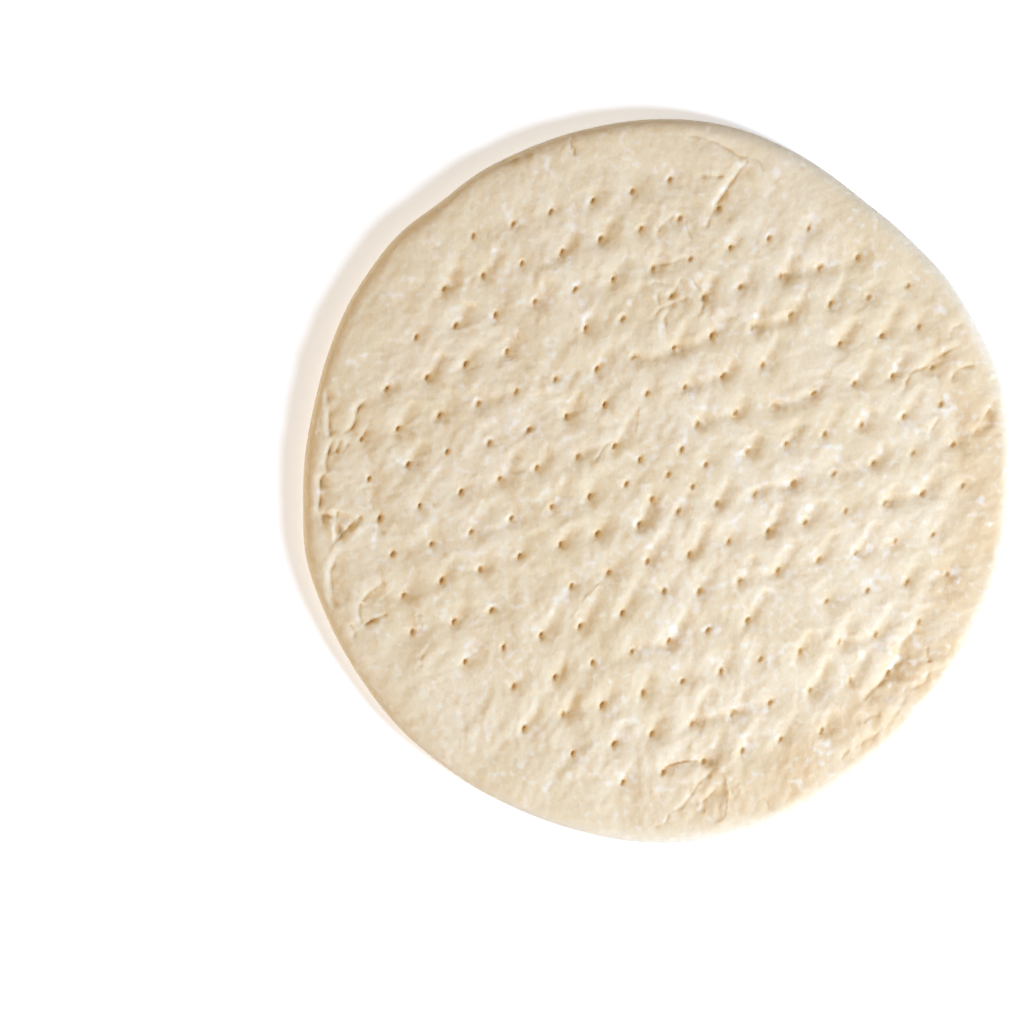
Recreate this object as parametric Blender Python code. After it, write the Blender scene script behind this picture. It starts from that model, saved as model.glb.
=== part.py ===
"""Par-baked pizza base: one round of pale dough, pricked with a square pattern of docker pins.

Units are metres, +Z is up and the base lies flat on z = 0, centred on the origin.
+Y is the side away from a person who looks down on it and +X is to the right.
"""

import math
import random

import bmesh
import bpy
from mathutils import Matrix, Vector, noise

MM = 0.001

# Driving sizes of the whole base
DIAMETER = 300.0 * MM
CROWN_HEIGHT = 9.0 * MM          # dough between the pins
BAND_RISE = 0.7 * MM             # the unpricked band stands a little prouder
BAND_START = 0.84                # share of the radius where the band begins to rise
BAND_FULL = 0.93

# Rolled edge: a tight upper curve, the widest line, and a tucked-in foot
EDGE_ROUND = 5.5 * MM
WIDEST_HEIGHT = 4.2 * MM
FOOT_INSET = 3.0 * MM
EDGE_POINTS = 128
UPPER_ROWS = 3
LOWER_ROWS = 2

# Slow swells and flats of the outline: direction (degrees), spread (degrees), rise
OUTLINE_SWELLS = (
    (15, 8, 1.6 * MM),
    (51, 14, -3.2 * MM),
    (84, 16, 2.8 * MM),
    (128, 6, -1.6 * MM),
    (168, 17, -2.4 * MM),
    (193, 7, 1.2 * MM),
    (277, 22, 3.1 * MM),
    (317, 15, -2.2 * MM),
)
EDGE_WAVER = 0.35 * MM           # small unevenness of the widest line
EDGE_WAVER_LENGTH = 24.0 * MM

# Docker pins, on a square pattern that was stretched a little with the dough
PIN_PITCH = 17.1 * MM
PIN_TURN = math.radians(15.3)
PIN_CENTRE = Vector((4.4 * MM, 3.3 * MM))
ROW_BOW = 0.06 * MM              # a row sinks by this much times its step squared
COLUMN_BOW = 0.025 * MM
PIN_FIELD_RADIUS = 131.0 * MM    # of the plate of pins
PIN_MOUTH = 1.25 * MM            # radius
PIN_DEPTH = 4.2 * MM
PIN_SCATTER = 0.8 * MM
MISSING_PINS = {
    (-2, 4), (4, 2), (2, -4), (-4, -2), (0, 1), (1, 4), (-1, -3),
    (4, 6), (-6, -4), (-7, -3), (7, -3), (3, 7), (3, -7),
}
CENTRE_PINS = tuple((a, b) for b in (-0.5, 0.5) for a in (-0.5, 0.5))
STRAY_PINS = ((1.25, 4.15), (-0.8, -2.75))

# Relief round the pins
CELLS_PER_PITCH = 3
GRID_STEPS = 9                   # pattern steps each way from the centre
GRID_GAP = 1.4 * MM              # least room from the grid's corners to the rolled edge
DIMPLE_DEPTH = (1.0 * MM, 1.9 * MM)
DIMPLE_RADIUS = 5.2 * MM
DIMPLE_STRETCH = 1.35            # dimples run together along the rows
BLISTER_HEIGHT = 0.6 * MM
BLISTER_LENGTH = 28.0 * MM
WRINKLE_HEIGHT = 0.6 * MM
WRINKLE_LENGTH = 13.0 * MM
WRINKLE_TURN = math.radians(50)
WRINKLE_STRETCH = 2.2

# Creases and folds: start, middle and end in mm, depth, half width and lip in mm.
# The lip stands on the left of the way from start to end.
FOLDS_MM = {
    "left_edge_upper": ((-138.4, 39.7), (-136.8, 20.0), (-137.5, 3.4), 1.3, 1.8, 0.5),
    "left_edge_middle": ((-140.5, 0.8), (-141.2, -6.0), (-141.6, -13.9), 1.2, 1.6, 0.3),
    "left_edge_lobe": ((-139.2, -14.4), (-134.2, -20.5), (-136.6, -27.5), 1.6, 1.6, -0.5),
    "left_edge_lower": ((-134.1, -30.0), (-137.0, -40.0), (-135.8, -51.1), 1.3, 1.8, 0.5),
    "left_pocket": ((-133.8, -25.4), (-129.0, -19.0), (-124.1, -14.7), 1.8, 1.9, 0.5),
    "left_upper_crease": ((-121.1, 34.7), (-127.0, 24.5), (-132.3, 18.6), 0.9, 1.6, 0.3),
    "left_lower_crease": ((-124.1, -60.4), (-125.3, -50.0), (-115.9, -42.7), 1.1, 1.7, 0.4),
    "left_lower_ridge": ((-123.3, -61.7), (-118.0, -58.0), (-112.5, -54.9), 1.0, 1.6, 0.4),
    "top_crease": ((38.5, 135.2), (28.5, 119.5), (20.9, 103.6), 1.7, 2.0, 0.6),
    "top_arc": ((17.3, 144.1), (29.0, 140.5), (38.5, 135.2), 0.9, 1.6, 0.3),
    "top_short_crease": ((17.3, 128.1), (23.0, 128.6), (28.7, 128.1), 0.8, 1.5, 0.2),
    "top_right_arc": ((38.9, 135.7), (43.0, 133.4), (45.2, 128.9), 0.8, 1.5, 0.2),
    "middle_long_crease": ((-2.5, 67.6), (6.0, 74.0), (14.4, 77.8), 0.9, 1.5, 0.3),
    "middle_short_crease": ((3.8, 71.9), (3.5, 66.0), (4.6, 61.7), 0.8, 1.4, 0.2),
    "middle_arc": ((13.9, 85.8), (18.5, 78.0), (19.4, 69.5), 0.8, 1.5, 0.3),
    "flap_rim": ((2.1, -123.4), (20.3, -116.4), (35.1, -127.2), 1.8, 2.0, -0.9),
    "flap_inner_crease": ((18.6, -135.7), (23.5, -132.4), (27.9, -128.1), 1.0, 1.6, 0.3),
    "flap_side": ((28.7, -125.5), (31.2, -133.5), (27.0, -143.3), 1.4, 1.7, 0.6),
    "bottom_notch": ((46.1, -132.3), (46.8, -136.0), (47.3, -139.5), 0.9, 1.6, 0.2),
    "right_crease": ((128.9, 56.2), (114.5, 50.0), (103.1, 37.2), 1.2, 1.8, 0.5),
    "right_edge_groove": ((144.1, 34.7), (137.8, 26.5), (132.3, 18.6), 1.2, 2.2, 0.4),
    "lower_right_crease": ((123.0, -76.9), (112.0, -83.0), (103.1, -94.3), 1.6, 2.0, 0.6),
    "lower_right_hollow": ((98.0, -80.0), (95.0, -85.0), (91.5, -89.0), 1.3, 3.0, 0.0),
    "upper_left_edge": ((-41.4, 140.3), (-54.1, 136.6), (-67.2, 131.4), 1.0, 1.7, 0.3),
}
FOLD_STEPS = 6                   # straight pieces that each crease is made of
FOLD_REACH = 30.0 * MM           # past this distance from its middle a crease has no effect
FOLD_FADE = 0.3                  # share of its length over which a crease fades at each end
LIP_AWAY = 2.0                   # how many half widths the lip's crest stands from the crease
FOLD_REFINING = (4.5 * MM, 2.4 * MM)   # how near a crease the sheet is split once, then twice

CRUST_COLOUR = (0.783, 0.665, 0.497, 1.0)   # pale cream, as linear light
CRUST_ROUGHNESS = 0.85

SEED = 23


def smooth_share(value, low, high):
    """0 below low, 1 above high and a soft rise between."""
    share = min(1.0, max(0.0, (value - low) / (high - low)))
    return share * share * (3.0 - 2.0 * share)


def outline_radius(angle):
    """Distance from the centre to the widest line of the edge."""
    radius = DIAMETER / 2
    for direction, spread, rise in OUTLINE_SWELLS:
        away = (math.degrees(angle) - direction + 180.0) % 360.0 - 180.0
        radius += rise * math.exp(-((away / spread) ** 2))
    around = Vector((math.cos(angle), math.sin(angle), 0.0)) * (DIAMETER / 2 / EDGE_WAVER_LENGTH)
    return radius + EDGE_WAVER * noise.noise(around)


def pattern_to_dough(column, row):
    """Pattern steps to the place on the dough, with the bow of the stretched rows."""
    place = Matrix.Rotation(PIN_TURN, 2) @ Vector((column * PIN_PITCH, row * PIN_PITCH))
    place.y -= ROW_BOW * column * column + COLUMN_BOW * row * (row - column)
    return PIN_CENTRE + place


def pin_places():
    """Each pin's pattern step, with its own scattered place and the depth of its dimple."""
    draws = random.Random(SEED)
    steps = range(-GRID_STEPS, GRID_STEPS + 1)
    pins = {}
    for step in [(a, b) for b in steps for a in steps] + [*CENTRE_PINS, *STRAY_PINS]:
        scatter = Vector((draws.uniform(-1, 1), draws.uniform(-1, 1))) * PIN_SCATTER
        dimple = draws.uniform(*DIMPLE_DEPTH)
        if step not in MISSING_PINS and math.hypot(*step) * PIN_PITCH < PIN_FIELD_RADIUS:
            pins[step] = (pattern_to_dough(*step) + scatter, dimple)
    return pins


def fold_lines():
    """Each fold as a run of points along its curve, with its depth, half width and lip."""
    folds = []
    for start, middle, end, depth, half_width, lip in FOLDS_MM.values():
        start, middle, end = (Vector(point) * MM for point in (start, middle, end))
        pull = 2 * middle - (start + end) / 2
        points = []
        for step in range(FOLD_STEPS + 1):
            t = step / FOLD_STEPS
            points.append((1 - t) ** 2 * start + 2 * t * (1 - t) * pull + t * t * end)
        folds.append((points, depth * MM, half_width * MM, lip * MM))
    return folds


def nearest_on_line(place, points):
    """The way to a place from the nearest point of a run of points.

    Also returns how far along the run that point is, from 0 to 1, and the side the place
    lies on, 1 for the left.
    """
    best, share, side = None, 0.0, 1.0
    for index, (first, second) in enumerate(zip(points, points[1:])):
        along = second - first
        part = min(1.0, max(0.0, (place - first).dot(along) / along.length_squared))
        offset = place - first - along * part
        if best is None or offset.length < best.length:
            best = offset
            share = (index + part) / (len(points) - 1)
            side = math.copysign(1.0, along.cross(offset))
    return best, share, side


def fold_relief(place, folds):
    """Height that the creases take away, and that their lips add."""
    height = 0.0
    for points, depth, half_width, lip in folds:
        if (place - points[FOLD_STEPS // 2]).length > FOLD_REACH:
            continue
        offset, share, side = nearest_on_line(place, points)
        valley = math.exp(-((offset.length / half_width) ** 2))
        crest = offset.length * side * math.copysign(1.0, lip) / half_width - LIP_AWAY
        fade = smooth_share(min(share, 1.0 - share), 0.0, FOLD_FADE)
        height += fade * (abs(lip) * math.exp(-crest * crest) - depth * valley)
    return height


def pin_relief(place, pins):
    """The dimple that the pins pull down; it is longer along the rows than across."""
    turned = Matrix.Rotation(-PIN_TURN, 2)
    drop = 0.0
    for pin, depth in pins.values():
        away = place - pin
        if away.length > 2 * PIN_PITCH:
            continue
        away = turned @ away
        away.x /= DIMPLE_STRETCH
        drop = max(drop, depth * math.exp(-away.length_squared / DIMPLE_RADIUS ** 2))
    return -drop


def top_height(place, pins, folds):
    """Height of the upper face at a place inside the outline."""
    share = place.length / outline_radius(math.atan2(place.y, place.x))
    height = CROWN_HEIGHT + BAND_RISE * smooth_share(share, BAND_START, BAND_FULL)
    height += pin_relief(place, pins) + fold_relief(place, folds)
    spot = Vector((place.x, place.y, 0.0))
    height += BLISTER_HEIGHT * noise.noise(spot / BLISTER_LENGTH)
    along = spot.copy()
    along.rotate(Matrix.Rotation(-WRINKLE_TURN, 3, "Z"))
    along.x /= WRINKLE_STRETCH
    return height + WRINKLE_HEIGHT * noise.noise(along / WRINKLE_LENGTH)


def dough_grid(mesh):
    """Lay a flat grid that follows the pin pattern and stops short of the rolled edge.

    Returns the grid's corners, by how many cells they are from the pattern's centre.
    """
    cells = 2 * CELLS_PER_PITCH * GRID_STEPS
    bmesh.ops.create_grid(mesh, x_segments=cells, y_segments=cells, size=GRID_STEPS)
    corners, outside = {}, []
    for vert in mesh.verts:
        key = tuple(round(value * CELLS_PER_PITCH) for value in vert.co.xy)
        place = pattern_to_dough(*vert.co.xy)
        vert.co = place.to_3d()
        if place.length > outline_radius(math.atan2(place.y, place.x)) - EDGE_ROUND - GRID_GAP:
            outside.append(vert)
        else:
            corners[key] = vert
    bmesh.ops.delete(mesh, geom=outside, context="VERTS")
    bmesh.ops.delete(mesh, geom=[e for e in mesh.edges if not e.link_faces], context="EDGES")
    return corners


def prick(mesh, corners, step, place):
    """Open a round mouth in the cells that meet at a pin, round the point of its hole."""
    cells = [value * CELLS_PER_PITCH for value in step]
    low = corners[tuple(math.floor(round(value, 3)) for value in cells)]
    high = corners[tuple(math.ceil(round(value, 3)) for value in cells)]
    shared = [face for face in low.link_faces if face in high.link_faces]
    if len(shared) > 1:
        shared = bmesh.ops.dissolve_faces(mesh, faces=shared)["region"]
    else:
        for edge in list(shared[0].edges):
            bmesh.utils.edge_split(edge, edge.verts[0], 0.5)
    mouth = shared[0]
    middle = mouth.calc_center_median()
    bmesh.ops.inset_individual(mesh, faces=[mouth], thickness=PIN_MOUTH)
    for vert in mouth.verts:
        vert.co = place.to_3d() + (vert.co - middle).normalized() * PIN_MOUTH
    tip = bmesh.ops.poke(mesh, faces=[mouth])["verts"][0]
    tip.co = place.to_3d()
    tip[mesh.verts.layers.float["hole_depth"]] = PIN_DEPTH


def refine_near_folds(mesh, folds):
    """Split the flat sheet's edges near the creases, so that these hold their shape."""
    for reach in FOLD_REFINING:
        hole = mesh.verts.layers.float["hole_depth"]
        near = []
        for edge in mesh.edges:
            if edge.is_boundary or any(vert[hole] for vert in edge.verts):
                continue
            middle = (edge.verts[0].co.xy + edge.verts[1].co.xy) / 2
            if any(nearest_on_line(middle, fold[0])[0].length < reach for fold in folds):
                near.append(edge)
        bmesh.ops.subdivide_edges(mesh, edges=near, cuts=1, use_grid_fill=True)
        bmesh.ops.triangulate(mesh, faces=mesh.faces, quad_method="BEAUTY", ngon_method="BEAUTY")


def edge_profile():
    """Rows of the rolled edge from the upper face to the foot, as inset and height share.

    A height share of 1 is the upper face, 0 the widest line and -1 the foot.
    """
    rows = []
    for row in range(1, UPPER_ROWS + 1):
        turn = math.radians(90) * (1 - row / UPPER_ROWS)
        rows.append((EDGE_ROUND * (1 - math.cos(turn)), math.sin(turn)))
    for row in range(1, LOWER_ROWS + 1):
        turn = math.radians(90) * row / LOWER_ROWS
        rows.append((FOOT_INSET * (1 - math.cos(turn)), -math.sin(turn)))
    return rows


def edge_step(vert):
    """Which of the evenly spaced points round the edge a vertex stands at."""
    return round(math.atan2(vert.co.y, vert.co.x) / math.tau * EDGE_POINTS) % EDGE_POINTS


def edge_place(step, inset, height):
    """The place at one of those points, this far in from the outline."""
    angle = math.tau * step / EDGE_POINTS
    reach = outline_radius(angle) - inset
    return Vector((math.cos(angle) * reach, math.sin(angle) * reach, height))


def join_edge_ring(mesh):
    """Join the grid to a flat ring where the rolled edge starts."""
    grid_rim = [edge for edge in mesh.edges if edge.is_boundary]
    ring = bmesh.ops.create_circle(mesh, segments=EDGE_POINTS, radius=DIAMETER / 2)["verts"]
    for vert in ring:
        vert.co = edge_place(edge_step(vert), EDGE_ROUND, 0.0)
    ring_edges = list({edge for vert in ring for edge in vert.link_edges})
    bmesh.ops.triangle_fill(mesh, use_beauty=True, edges=grid_rim + ring_edges, normal=(0, 0, 1))


def roll_edge(mesh):
    """Extrude the sheet's rim down over the rolled edge and close the flat underside."""
    edges = [edge for edge in mesh.edges if edge.is_boundary]
    tops = {edge_step(vert): vert.co.z for edge in edges for vert in edge.verts}
    for inset, share in edge_profile():
        made = bmesh.ops.extrude_edge_only(mesh, edges=edges)["geom"]
        verts = {item for item in made if isinstance(item, bmesh.types.BMVert)}
        edges = [edge for edge in mesh.edges if verts.issuperset(edge.verts)]
        for vert in verts:
            step = edge_step(vert)
            rise = tops[step] - WIDEST_HEIGHT if share > 0 else WIDEST_HEIGHT
            vert.co = edge_place(step, inset, WIDEST_HEIGHT + rise * share)
    bmesh.ops.contextual_create(mesh, geom=edges)


def make_dough():
    """Build the whole base as one closed mesh, centred on the origin."""
    pins, folds = pin_places(), fold_lines()
    mesh = bmesh.new()
    mesh.verts.layers.float.new("hole_depth")
    corners = dough_grid(mesh)
    for step, (place, _) in pins.items():
        prick(mesh, corners, step, place)
    join_edge_ring(mesh)
    refine_near_folds(mesh, folds)
    hole = mesh.verts.layers.float["hole_depth"]
    for vert in mesh.verts:
        vert.co.z = top_height(vert.co.xy, pins, folds) - vert[hole]
    roll_edge(mesh)

    for axis in range(2):
        reach = [vert.co[axis] for vert in mesh.verts]
        middle = (min(reach) + max(reach)) / 2
        for vert in mesh.verts:
            vert.co[axis] -= middle
    bmesh.ops.recalc_face_normals(mesh, faces=mesh.faces)
    data = bpy.data.meshes.new("pizza_base")
    mesh.to_mesh(data)
    mesh.free()
    data.shade_smooth()
    return data


def dough_material():
    """Pale baked flour dough: matt, cream coloured, not metallic."""
    material = bpy.data.materials.new("baked_dough")
    material.use_nodes = True
    shader = material.node_tree.nodes["Principled BSDF"]
    shader.inputs["Base Color"].default_value = CRUST_COLOUR
    shader.inputs["Roughness"].default_value = CRUST_ROUGHNESS
    shader.inputs["Metallic"].default_value = 0.0
    return material


def main():
    for old in list(bpy.data.objects):
        bpy.data.objects.remove(old)
    base = bpy.data.objects.new("pizza_base", make_dough())
    base.data.materials.append(dough_material())
    bpy.context.scene.collection.objects.link(base)


main()
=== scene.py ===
import math
import random

import bmesh
import bpy
import numpy as np
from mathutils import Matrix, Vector, noise


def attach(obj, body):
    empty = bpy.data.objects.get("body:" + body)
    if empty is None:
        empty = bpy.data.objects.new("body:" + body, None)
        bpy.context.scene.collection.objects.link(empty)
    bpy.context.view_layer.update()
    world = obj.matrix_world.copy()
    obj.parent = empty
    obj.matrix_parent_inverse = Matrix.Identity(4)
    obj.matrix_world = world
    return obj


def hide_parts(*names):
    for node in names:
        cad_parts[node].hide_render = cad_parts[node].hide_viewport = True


# A par-baked pizza base: pale floury dough, pricked in a square pattern and baked until just set.
# Sizes are in millimetres and angles in degrees; each finished mesh is scaled to metres.
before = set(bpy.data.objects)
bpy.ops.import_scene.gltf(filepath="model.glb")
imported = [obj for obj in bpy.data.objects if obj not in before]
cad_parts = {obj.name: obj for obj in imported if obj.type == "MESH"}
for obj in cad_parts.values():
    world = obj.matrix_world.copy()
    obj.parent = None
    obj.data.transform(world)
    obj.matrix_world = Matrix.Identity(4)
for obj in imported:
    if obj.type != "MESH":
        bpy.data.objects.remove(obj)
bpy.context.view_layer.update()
mm = 0.001

base = {
    "node": "pizza_base",
    "slot": "baked_dough",
    "diameter": 300.0,
    "crownHeight": 9.0,
    "bandRise": 0.7,              # the unpricked band stands a little prouder
    "bandStart": 0.84,            # share of the radius where the band begins to rise
    "bandFull": 0.93,
    "edgeRound": 6.5,
    "widestHeight": 4.2,
    "footInset": 3.0,
    "swells": [                   # direction, spread and rise of the outline's swells and flats
        (15, 8, 1.6), (51, 14, -3.2), (84, 16, 2.8), (128, 6, -1.6),
        (168, 17, -2.4), (193, 7, 1.2), (277, 22, 3.1), (317, 15, -2.2),
    ],
    "waver": 0.35,                # small unevenness of the outline
    "waverLength": 24.0,
    "rightSpan": (-60.0, 90.0),   # where the left side's look passes into the right side's
    "topCells": 204,              # cells across the upper face before it is refined
    "refine": ((2.6, 1.9), (1.7, 0.8)),  # cells this near to a hole or to a crease are split
    "upperRows": 10,
    "lowerRows": 5,
    "undersideCells": 90,
    "undersideGap": 2.5,          # width of the ring between the foot and the underside's cells
    "underRise": 0.22,            # the underside's middle is raised by this and by its unevenness
    "underWaves": ((0.35, 22.0), (0.12, 5.0)),  # heights and lengths of its unevenness
    "underFlat": (0.88, 0.96),    # shares of the radius between which it flattens out
}

pins = {
    "pitch": 17.1,
    "turn": 15.3,
    "centre": (4.4, 3.3),
    "rowBow": 0.06,
    "columnBow": 0.025,
    "fieldRadius": 131.0,
    "gridSteps": 9,
    "scatter": 0.8,
    "missing": {
        (-2, 4), (4, 2), (2, -4), (-4, -2), (0, 1), (1, 4), (-1, -3),
        (4, 6), (-6, -4), (-7, -3), (7, -3), (3, 7), (3, -7),
    },
    "middleFour": [(a, b) for b in (-0.5, 0.5) for a in (-0.5, 0.5)],
    "strays": [(1.25, 4.15), (-0.8, -2.75)],
    "seed": 23,
    "finerSeed": 41,
    "holeDepth": (1.6, 0.92),     # on the left and on the right
    "holeLength": 1.2,            # half length of the slit that a pin leaves
    "holeWidth": (1.1, 1.0),      # half width towards its steep wall and towards its slow side
    "holeTail": 1.85,             # how much longer its lower left half is
    "holeCore": 0.85,             # a hole's depth falls to a third this many half widths out
    "holeSizes": (0.85, 1.12),
    "holeTurn": 62.0,
    "holeTurnSpread": 14.0,
    "hollowDepth": (1.0, 1.9),
    "hollowShare": 0.63,          # how much of that depth a hollow has here
    "hollowLength": 5.2,
    "hollowSteep": 4.5,           # reach of the steep wall, on the upper left of each hole
    "hollowGentle": 4.2,          # reach of the slow slope on its other side
    "hollowTurn": 60.0,
    "hollowTurnSpread": 16.0,
    "hollowShift": (0.85, 0.65),  # how far to the right and up a hollow's middle is from its hole
}

relief = {
    "blisterHeight": 0.95,
    "blisterLength": 28.0,
    "wrinkleHeight": 0.42,
    "wrinkleLength": 13.0,
    "wrinkleTurn": 60.0,
    "wrinkleStretch": 1.4,
    "puffHeight": 1.3,            # soft puffs with creased valleys between them
    "puffLength": 11.0,
    "puffStretch": 1.5,
    "puffMiddle": 0.2,            # taken off, so that valleys lie below the face and puffs above it
    "puckerHeight": 0.8,          # finer puckers between them
    "puckerLength": 5.2,
    "puckerStretch": 1.3,
    "creaseRounding": 0.07,
    "warpLength": 9.0,            # puffs and puckers are pushed out of line by noise
    "warpReach": 3.5,
    "pebbleHeight": 0.26,
    "pebbleLength": 2.6,
    "bandCalm": 0.45,             # how much smoother the unpricked band is
    "bandSpan": (0.82, 0.97),
    "rightCalm": 0.3,             # how much softer the right side is
    "crumple": 0.75,              # how much rougher the browner strip along the edge is
    "valleyPuffs": 0.6,           # how much the valleys between puffs count as deep
    "valleySpan": (0.1, 1.3),     # a place gets moister, and takes painted shade, between these depths
    "linkChance": (0.1, 0.25),    # how often a groove joins two holes of a row, left and right
    "linkSag": (-2.2, 1.2),
    "linkDepth": (0.45, 1.05),
    "linkSteep": 1.2,
    "linkSlow": 3.6,
    "linkWander": 0.8,
    "linkFade": 0.12,
    "pullChance": (0.65, 0.85),   # how often a groove runs from a hole towards the next diagonal one
    "pullShare": (0.34, 0.72),    # how far it gets
    "pullBack": (0.08, 0.22),     # how far behind its hole it starts
}

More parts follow.
